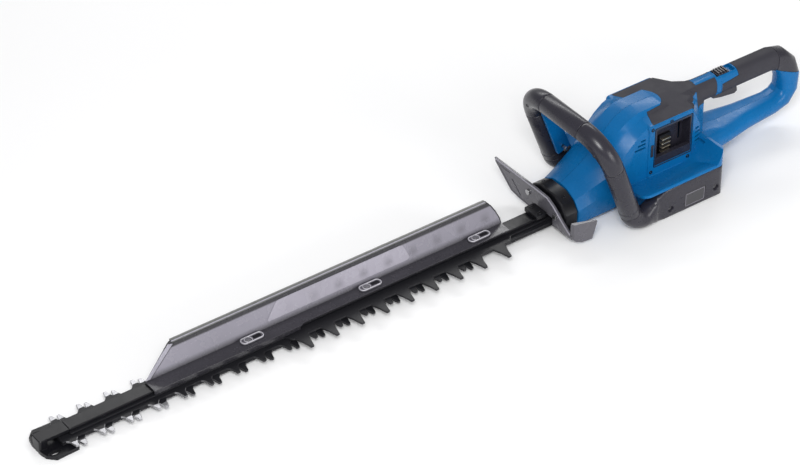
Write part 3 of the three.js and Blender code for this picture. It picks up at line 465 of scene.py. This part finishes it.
def refine(node, bevel=0.35, segments=2, angle=30.0, fine=None, material=None):
    """A copy of a CAD node with its flat faces joined and its edges rounded by `bevel` mm. `fine` is
    (x in mm, angle): in front of x, edges count as sharp from that smaller angle."""
    bm = bmesh.new()
    bm.from_mesh(frame["nodes"][node].data)
    bmesh.ops.remove_doubles(bm, verts=bm.verts, dist=1e-6)
    if bevel:
        bmesh.ops.dissolve_limit(bm, angle_limit=math.radians(0.6), verts=bm.verts, edges=bm.edges)
        bmesh.ops.triangulate(bm, faces=bm.faces)
    weights = bm.edges.layers.float.new("bevel_weight_edge")
    for edge in bm.edges:
        if len(edge.link_faces) != 2:
            continue
        limit = angle
        if fine and (edge.verts[0].co.x + edge.verts[1].co.x) / 2 < fine[0] * MM:
            limit = fine[1]
        turned = math.degrees(edge.calc_face_angle(0.0)) > limit
        edge.smooth = not turned
        edge[weights] = 1.0 if turned else 0.0
    for face in bm.faces:
        face.smooth = True
    mesh = bpy.data.meshes.new(node + "_detail")
    bm.to_mesh(mesh)
    bm.free()
    mesh.materials.append(material or MATERIALS[SLOT_OF[node]])
    piece = bpy.data.objects.new(node + "_detail", mesh)
    bpy.context.scene.collection.objects.link(piece)
    if bevel:
        edge = piece.modifiers.new("edge", "BEVEL")
        edge.width = bevel * MM
        edge.segments = segments
        edge.limit_method = "WEIGHT"
        edge.harden_normals = True
        edge.use_clamp_overlap = False
    follow(piece, node)
    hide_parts(node)
    return piece


# ---- front handle ----
LEAN = math.radians(20.8)
CROSS_X, CROSS_Z = -103.0, 144.0
HANDLE_Y, ELBOW, TUBE = 76.0, 40.0, 13.04
LEG_END = 124.0
SEAM = 0.25
ELBOW_SCREW_TURN = 0.8


def on_handle(side, down):
    return Vector((CROSS_X + math.sin(LEAN) * down, side, CROSS_Z - math.cos(LEAN) * down))


def tube(name, centres, normal, radius, sides=56, lip=0.7):
    """A solid round bar through the centres, with rounded ends. `normal` is square to the path's plane."""
    normal = Vector(normal).normalized()
    last = len(centres) - 1
    tangents = []
    for k in range(last + 1):
        tangents.append((centres[min(k + 1, last)] - centres[max(k - 1, 0)]).normalized())
    rows = [(0, 0.0, lip), (0, lip * 0.3, lip * 0.3), (0, lip, 0.0)]
    rows += [(k, 0.0, 0.0) for k in range(1, last)]
    rows += [(last, -lip, 0.0), (last, -lip * 0.3, lip * 0.3), (last, 0.0, lip)]
    rings = []
    for k, shift, inset in rows:
        centre = centres[k] + tangents[k] * shift
        across = tangents[k].cross(normal)
        ring = []
        for step in range(sides):
            a = 2 * math.pi * step / sides
            ring.append(centre + (across * math.cos(a) + normal * math.sin(a)) * (radius - inset))
        rings.append(ring)
    return put(name + "_tube", skin(rings), SLOT_OF[name], node=name, bevel=0.0, angle=50.0)


def front_handle():
    reach = HANDLE_Y - ELBOW
    plane = Vector((math.cos(LEAN), 0, math.sin(LEAN)))
    ends = [on_handle(-reach + SEAM, 0), on_handle(0, 0), on_handle(reach - SEAM, 0)]
    tube("handle_crossbar", ends, plane, TUBE)
    for name, sign in (("left", -1), ("right", 1)):
        arc = []
        for k in range(25):
            a = math.pi / 2 * k / 24
            arc.append(on_handle(sign * (reach + ELBOW * math.sin(a)), ELBOW * (1 - math.cos(a))))
        tube(name + "_elbow", arc, plane, TUBE)
        downs = [ELBOW + SEAM, (ELBOW + LEG_END) / 2, LEG_END - SEAM]
        tube(name + "_leg", [on_handle(sign * HANDLE_Y, d) for d in downs], plane, TUBE)
        for k, down in enumerate((ELBOW + 6.0, LEG_END - 9.0)):
            loop = []
            for step in range(48):
                a = 2 * math.pi * step / 48
                out = plane * math.cos(a) + Vector((0, 1, 0)) * math.sin(a)
                loop.append(on_handle(sign * HANDLE_Y, down) + (TUBE - 0.15) * out)
            bead(f"{name}_leg_ring_{k + 1}", loop, 0.4, "dark_plastic", closed=True)
        turn = ELBOW_SCREW_TURN
        middle = on_handle(sign * (reach + ELBOW * math.sin(turn)), ELBOW * (1 - math.cos(turn)))
        screw(f"{name}_elbow_screw", middle - plane * (TUBE - 0.3), -plane, 2.3, DARK_SCREW)


# ---- rails ----
BASE_FRONT, BASE_REAR, BASE_INNER, BASE_OUTER = -19.0, 86.0, 66.15, 84.0
RAIL_BEND, RAIL_CORNER = 22.0, 11.0
RAIL_HOLES = ((0.0, 12.0), (72.0, 14.0))
RAIL_ROOF, RAIL_SLOPE = 38.4, 4.8 / 17.85
NAME_PLATE = (22.3, 53.7, 5.3, 24.7)


def rail_stations():
    """Sections of a rail from the handle's leg to the rear: x, y, z, turn, half width, half height and
    squareness."""
    foot = on_handle(0, LEG_END)
    start = math.radians(-90) + LEAN
    stations = []
    for k in range(17):
        turn = start * (1 - k / 16)
        x = foot.x + RAIL_BEND * (math.sin(turn) - math.sin(start))
        z = foot.z - RAIL_BEND * (math.cos(turn) - math.cos(start))
        stations.append((x, HANDLE_Y, z, turn, TUBE, TUBE, 2.0))
    middle, half = (BASE_INNER + BASE_OUTER) / 2, (BASE_OUTER - BASE_INNER) / 2
    keys = [stations[-1], (-26.0, 75.5, 16.0, 0.0, 11.5, 16.0, 2.6),
            (BASE_FRONT, middle, 19.0, 0.0, half, 19.0, 5.0), (-6.0, middle, 21.6, 0.0, half, 21.6, 9.0)]
    for a, b in zip(keys, keys[1:]):
        for step in range(1, 5):
            t = step / 4
            ease = t * t * (3 - 2 * t)
            shares = (t, *[ease] * 6)
            stations.append(tuple(p + (q - p) * share for p, q, share in zip(a, b, shares)))
    for x in (20.0, 60.0, 75.0, 78.5, 81.5, 83.8, 85.2, 85.9):
        stations.append((x, middle, 21.6, 0.0, half, 21.6, 9.0))
    return stations


def rail_ring(station, sign, sides=72):
    x, y, z, turn, width, height, power = station
    ring = []
    for k in range(sides):
        across, up = squared(2 * math.pi * k / sides, width, height, power)
        px, depth, pz = x - math.sin(turn) * up, y + across, z + math.cos(turn) * up
        roof = RAIL_ROOF + max(0.0, depth - BASE_INNER) * RAIL_SLOPE
        pz = min(max(pz, 0.2), roof)
        if px > BASE_REAR - RAIL_CORNER:
            beyond = px - (BASE_REAR - RAIL_CORNER)
            limit = BASE_OUTER - RAIL_CORNER + math.sqrt(max(RAIL_CORNER ** 2 - beyond ** 2, 0.0))
            depth = min(depth, limit)
        ring.append((px, sign * depth, pz))
    return ring


def rails():
    x0, x1, z0, z1 = NAME_PLATE
    for name, sign in (("left_rail", -1), ("right_rail", 1)):
        bm = skin([rail_ring(station, sign) for station in rail_stations()])
        place = basis((0, sign * 80.0, 0), (1, 0, 0), (0, 0, 1))
        holes = []
        for x, z in RAIL_HOLES:
            hole = basis((x, sign * 76.0, z), (1, 0, 0), (0, 0, -sign))
            holes.append(lathe([(3.6, 0), (3.6, 6.4), (4.6, 8.2), (4.6, 10)], hole, 36))
        low, high = (2.8, 8.0) if sign < 0 else (-8.0, -2.8)
        holes.append(plate(rounded(x0 - 0.4, x1 + 0.4, z0 - 0.4, z1 + 0.4, 1.2), place, low, high))
        put(name + "_body", cut(bm, holes), "dark_plastic", node=name, bevel=0.4, angle=40.0)
    place = basis((0, -80.0, 0), (1, 0, 0), (0, 0, 1))
    put("nameplate_face", plate(rounded(x0, x1, z0, z1, 1.0), place, 3.1, 3.85), "blank_label",
        node="nameplate", material=PLATE_FACE, bevel=0.15)
    rim = [place @ Vector((u, v, 3.9)) for u, v in rounded(x0 + 1, x1 - 1, z0 + 1, z1 - 1, 1.0)]
    bead("nameplate_rim", rim, 0.28, "blank_label", closed=True)


# ---- cuttings guard ----
GUARD_LEAN = math.radians(20)
GUARD_UP = Vector((0, math.sin(GUARD_LEAN), math.cos(GUARD_LEAN)))
GUARD_FOOT_Y, GUARD_FOOT_Z = 9.2, 18.7
GUARD_PLACE = basis((0, GUARD_FOOT_Y, GUARD_FOOT_Z), (1, 0, 0), GUARD_UP)
GUARD_FRONT, GUARD_REAR, GUARD_TOP_FRONT, GUARD_TOP_REAR = -701.0, -191.0, -660.0, -208.0
GUARD_HEIGHT, GUARD_PANEL = 36.0, 2.2
GUARD_STEP = -500.0
LABEL_SLANTS = (17.0, 5.0)
GUARD_SCREWS = []
for number in (1, 2, 3):
    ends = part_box(f"cuttings_guard_screw_{number}")
    GUARD_SCREWS.append((ends[0].x + ends[1].x) / 2 / MM)


def guard_point(x, v, w):
    return GUARD_PLACE @ Vector((x, v, w))


def guard_label():
    """A blank film with rounded ends that lean towards each other."""
    low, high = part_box("guard_label")
    face = GUARD_PANEL + 0.3
    v0 = (low.z / MM - GUARD_FOOT_Z - face * math.sin(GUARD_LEAN)) / math.cos(GUARD_LEAN)
    v1 = (high.z / MM - GUARD_FOOT_Z - (face + 0.2) * math.sin(GUARD_LEAN)) / math.cos(GUARD_LEAN)
    x0, x1 = low.x / MM, high.x / MM
    front, rear = x0 + LABEL_SLANTS[0], x1 - LABEL_SLANTS[1]
    outline = [
        (x0 + 1.2, v0 + 3.0), (x0 + 0.4, v0 + 1.0), (x0 + 3.0, v0), (x1 - 4.0, v0), (x1 - 1.2, v0 + 1.0),
        (x1 - 0.2, v0 + 3.2), (x1 - 0.6, v0 + 5.0), (rear, v1 - 3.6), (rear - 1.6, v1 - 1.0),
        (rear - 4.6, v1), (front + 3.5, v1), (front, v1 - 1.0), (front - 2.4, v1 - 3.2),
    ]
    film = plate(outline, GUARD_PLACE, face, face + 0.18)
    put("guard_label_film", film, "blank_label", node="guard_label", bevel=0.0)


def guard_moulding():
    """The leaning panel, its flat foot with a skirt, the folded rim on top and the flange in front."""
    rear = [(-1, 8), (-3, 13.5), (-6.5, 21), (-11, 28.5)]
    side = [(GUARD_FRONT, 0), (GUARD_REAR, 0), *((GUARD_REAR + dx, v) for dx, v in rear)]
    side += [(GUARD_TOP_REAR, GUARD_HEIGHT), (GUARD_TOP_FRONT + 3.5, GUARD_HEIGHT)]
    side += [(GUARD_TOP_FRONT + 0.4, 35.3), (GUARD_TOP_FRONT - 2.4, 33.6)]
    panel = plate(side, GUARD_PLACE, 0, GUARD_PANEL)
    put("guard_panel", panel, "smoky_guard", node="cuttings_guard", bevel=0.5, segments=3)
    flat = basis((0, 0, 0), (1, 0, 0), (0, 1, 0))
    foot = [(GUARD_FRONT, -12.5), (GUARD_STEP, -12.5), (GUARD_STEP + 6, -9.5), (GUARD_REAR, -9.5)]
    foot += [(GUARD_REAR, 9.5), (GUARD_FRONT, 9.5)]
    put("guard_foot", plate(foot, flat, 18.3, 20.4), "smoky_guard", bevel=0.6, segments=3)
    skirt = [(GUARD_FRONT, -12.5), (GUARD_STEP, -12.5), (GUARD_STEP, -10.7), (GUARD_FRONT, -10.7)]
    put("guard_skirt", plate(skirt, flat, 14.6, 19.0), "smoky_guard", bevel=0.4)
    y = GUARD_FOOT_Y + GUARD_HEIGHT * math.sin(GUARD_LEAN)
    z = 16.3 + GUARD_HEIGHT * math.cos(GUARD_LEAN)
    fold = [(0, 0.2), (-4.5, 1.2), (-4.5, 2.6), (-3.9, 3), (1.6, 3), (2.4, 2.2), (2.5, 0.2)]
    across = basis((0, 0, 0), (0, 1, 0), (0, 0, 1))
    rim = plate([(y + dy, z + dz) for dy, dz in fold], across, GUARD_TOP_FRONT + 3, GUARD_TOP_REAR)
    put("guard_rim", rim, "smoky_guard", material=GUARD_RIM, bevel=0.3)
    edge = [(GUARD_FRONT, 2), (GUARD_FRONT + 6.5, 2), (GUARD_TOP_FRONT + 4.0, 31.5)]
    edge += [(GUARD_TOP_FRONT - 2.8, 33.0)]
    flange = plate(edge, GUARD_PLACE, GUARD_PANEL - 0.2, GUARD_PANEL + 1.0)
    put("guard_flange", flange, "smoky_guard", material=GUARD_EDGE, bevel=0.45)


def guard_boss(name, x):
    """A raised boss with a lip and a ring round its screw in a light grey that paints their highlights, and
    a slot beside it.
    """
    flat = basis((x, 0, 0), (1, 0, 0), (0, 1, 0))
    wall = plate(rounded(-10.5, 21.0, -5.6, 6.4, 5.6), flat, 20.2, 22.4)
    put(name, wall, "smoky_guard", bevel=0.8, segments=3)
    lip = [flat @ Vector((u, v, 22.5)) for u, v in rounded(-9.4, 19.9, -4.5, 5.3, 4.5)]
    bead(name + "_rim", lip, 0.8, "smoky_guard", GLINT, closed=True)
    slot = plate(rounded(6.5, 17.5, -2.2, 3.0, 2.0), flat, 22.2, 22.7)
    put(name + "_slot", slot, "smoky_guard", material=MATERIALS["black_plastic"], bevel=0.2)
    profile = [(5.4, 0.0), (5.2, 0.7), (4.5, 1.1), (4.0, 0.6), (3.9, 0.1)]
    ring = lathe(profile, flat @ Matrix.Translation((0, 0, 22.3)), 48)
    put(name + "_ring", ring, "smoky_guard", material=GLINT, bevel=0.0)


def cuttings_guard():
    guard_moulding()
    guard_label()
    black = MATERIALS["black_plastic"]
    front = [guard_point(GUARD_FRONT + 7.4, 2.0, GUARD_PANEL),
             guard_point(GUARD_TOP_FRONT + 4.9, 31.5, GUARD_PANEL)]
    bead("guard_front_line", front, 0.45, "smoky_guard", black)
    curve = [(-1.2, 2.0), (-1.8, 8.0), (-5.6, 18.0), (-10.5, 27.0), (-17.0, 35.0)]
    rear = [guard_point(GUARD_REAR + dx, v, GUARD_PANEL / 2) for dx, v in curve]
    bead("guard_rear_edge", rear, 1.25, "smoky_guard", black)
    top = [guard_point(x, GUARD_HEIGHT - 0.4, 4.2) for x in (GUARD_TOP_FRONT + 1.5, GUARD_TOP_REAR - 1.5)]
    bead("guard_top_edge", top, 0.7, "smoky_guard", GUARD_EDGE)
    for k, x in enumerate(GUARD_SCREWS):
        guard_boss(f"guard_boss_{k + 1}", x)


# ---- hand guard and gear case ----
GUARD_FACE_X = -134.4


def hand_guard():
    refine("hand_guard", bevel=0.6, segments=3, material=HAND_GUARD)
    middle = Vector((15, 25))
    upper = [(-56, 14), (-38, 25), (-22, 37), (-10, 43), (12, 44), (95.5, 41.3)]
    inner = [Vector(p) + (middle - Vector(p)).normalized() * 1.4 for p in upper]
    bead("hand_guard_rim", [(GUARD_FACE_X, p.x, p.y) for p in inner], 0.9, "smoky_guard", GUARD_EDGE)
    lower = [(94, 38.6), (61.5, 13.4), (43, 10.9), (22, 10.8)]
    bead("hand_guard_rim_low", [(GUARD_FACE_X, y, z) for y, z in lower], 0.8, "smoky_guard", HAND_GUARD)
    ridge = [(66, 36), (76, 36), (84, 37)]
    bead("hand_guard_ridge", [(GUARD_FACE_X, y, z) for y, z in ridge], 0.7, "smoky_guard", HAND_GUARD)
    level = basis((0, 0, 0), (1, 0, 0), (0, 1, 0))
    block = plate(rounded(-153, -136.5, -13.0, 13.0, 2.5), level, 18.4, 24.0)
    put("bar_clamp", block, "black_plastic", bevel=0.9, segments=3)
    for k, y in enumerate((-8.0, 8.0)):
        screw(f"bar_clamp_screw_{k + 1}", (-145.0, y, 24.1), (0, 0, 1), 2.6, DARK_SCREW)
    for k, y in enumerate((-39.6, 39.6)):
        screw(f"case_screw_{k + 1}", (-116.0, y, 8.0), (0, 0, 1), 2.4, DARK_SCREW)
    for k, (y, z) in enumerate(((-20, 44.5), (20, 44.5))):
        screw(f"case_top_screw_{k + 1}", (-118.0, y, z), (0, y, 40), 2.3, DARK_SCREW)


# ---- housing details ----
FRAME_Y = 42.0
FRAME_SCREWS = ((0.4, 106.0), (0.4, 43.0), (30.0, 108.0), (59.0, 43.0))
GRIP_HALF_WIDTH, GRIP_HALF_HEIGHT, GRIP_Z, GRIP_POWER = 12.8, 14.8, 99, 2.6


def outline_on_side(points, y, name, radius, slot, material=None):
    bead(name, [(x, y, z) for x, z in points], radius, slot, material, closed=True)


def housing_details():
    for name, sign in (("left", -1), ("right", 1)):
        y = sign * (FRAME_Y - 0.1)
        frame_line, bay_line = rounded(-4.4, 64.6, 36.6, 110.4, 3.5), rounded(4.6, 64.2, 48.6, 105.6, 1.5)
        outline_on_side(frame_line, y, name + "_frame_rim", 0.8, "blue_plastic")
        outline_on_side(bay_line, y, name + "_bay_rim", 0.7, "dark_plastic", MATERIALS["black_plastic"])
        for k, (x, z) in enumerate(FRAME_SCREWS):
            place = (x, sign * FRAME_Y, z)
            screw(f"{name}_frame_screw_{k + 1}", place, (0, sign, 0), 2.4, DARK_SCREW)
        depths = (0.0, 0.9) if sign < 0 else (-0.9, 0.0)
        latch = plate(rounded(-1.5, 2.6, 66, 84, 1.2), basis((0, y, 0), (1, 0, 0), (0, 0, 1)), *depths)
        put(name + "_frame_key", latch, "dark_plastic", bevel=0.3)


def contacts():
    """A dark terminal block with four bright blades, on each side."""
    for name, sign in (("left", -1), ("right", 1)):
        node = name + "_contact_block"
        low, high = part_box(node)
        inner, outer = sorted((abs(low.y) / MM, abs(high.y) / MM))
        x0, x1, z0, z1 = low.x / MM, high.x / MM, low.z / MM, high.z / MM
        place = basis((0, 0, 0), (1, 0, 0), (0, 0, -sign))
        outline = [(x, -sign * z) for x, z in rounded(x0, x1, z0, z1, 1.2)]
        put(node + "_body", plate(outline, place, inner, outer - 2.8), "contact_brass", node=node,
            material=MATERIALS["black_plastic"], bevel=0.4)
        for k in range(4):
            z = z0 + 2.0 + 6.0 * k
            outline = [(x, -sign * v) for x, v in rounded(x0 + 2, x1 - 2, z, z + 1.4, 0.5)]
            blade = plate(outline, place, outer - 3.4, outer)
            put(f"{node}_blade_{k + 1}", blade, "contact_brass", bevel=0.2)


def body_rings():
    """Seam rings where the grip's skin meets the blue body."""
    for k, x in enumerate((128.2, 135.8)):
        loop = []
        for step in range(64):
            turn = 2 * math.pi * step / 64
            y, up = squared(turn, GRIP_HALF_WIDTH, GRIP_HALF_HEIGHT, GRIP_POWER)
            loop.append((x, y, GRIP_Z + up))
        bead(f"neck_ring_{k + 1}", loop, 0.5, "blue_plastic", closed=True)


# ---- every node ----
OWN = {
    "handle_crossbar", "left_elbow", "right_elbow", "left_leg", "right_leg", "left_rail", "right_rail",
    "nameplate", "guard_label", "cuttings_guard", "hand_guard", "left_contact_block", "right_contact_block",
}  # nodes whose pieces are made above
LOOKS = {
    "left_shell": {"bevel": 0.0, "angle": 32.0, "fine": (110, 24.0)},
    "right_shell": {"bevel": 0.0, "angle": 32.0, "fine": (110, 24.0)},
    "top_cover": {"bevel": 0.0, "angle": 32.0, "fine": (92, 12.0)},
    "lock_slider": {"bevel": 0.0},
    "rear_grip_sleeve": {"bevel": 0.5, "angle": 34.0},
    "rear_end_cap": {"bevel": 0.5, "angle": 34.0},
    "upper_blade": {"bevel": 0.55, "segments": 1, "angle": 50.0},
    "lower_blade": {"bevel": 0.55, "segments": 1, "angle": 50.0},
    "guard_comb": {"bevel": 0.5, "segments": 2, "angle": 50.0},
    "tip_guard": {"bevel": 0.0, "angle": 30.0},
    "switch_lever": {"bevel": 0.9, "segments": 3, "angle": 35.0},
    "blade_bar": {"bevel": 0.0},
    "gear_case_top": {"bevel": 0.0},
    "gear_case_bottom": {"bevel": 0.0},
    "left_bay_liner": {"bevel": 0.0},
    "right_bay_liner": {"bevel": 0.0},
    "trigger": {"bevel": 0.7, "segments": 3},
}

camera()
studio()
front_handle()
rails()
cuttings_guard()
hand_guard()
housing_details()
body_rings()
contacts()
for name in sorted(set(frame["nodes"]) - OWN):
    refine(name, **LOOKS.get(name, {"bevel": 0.25}))
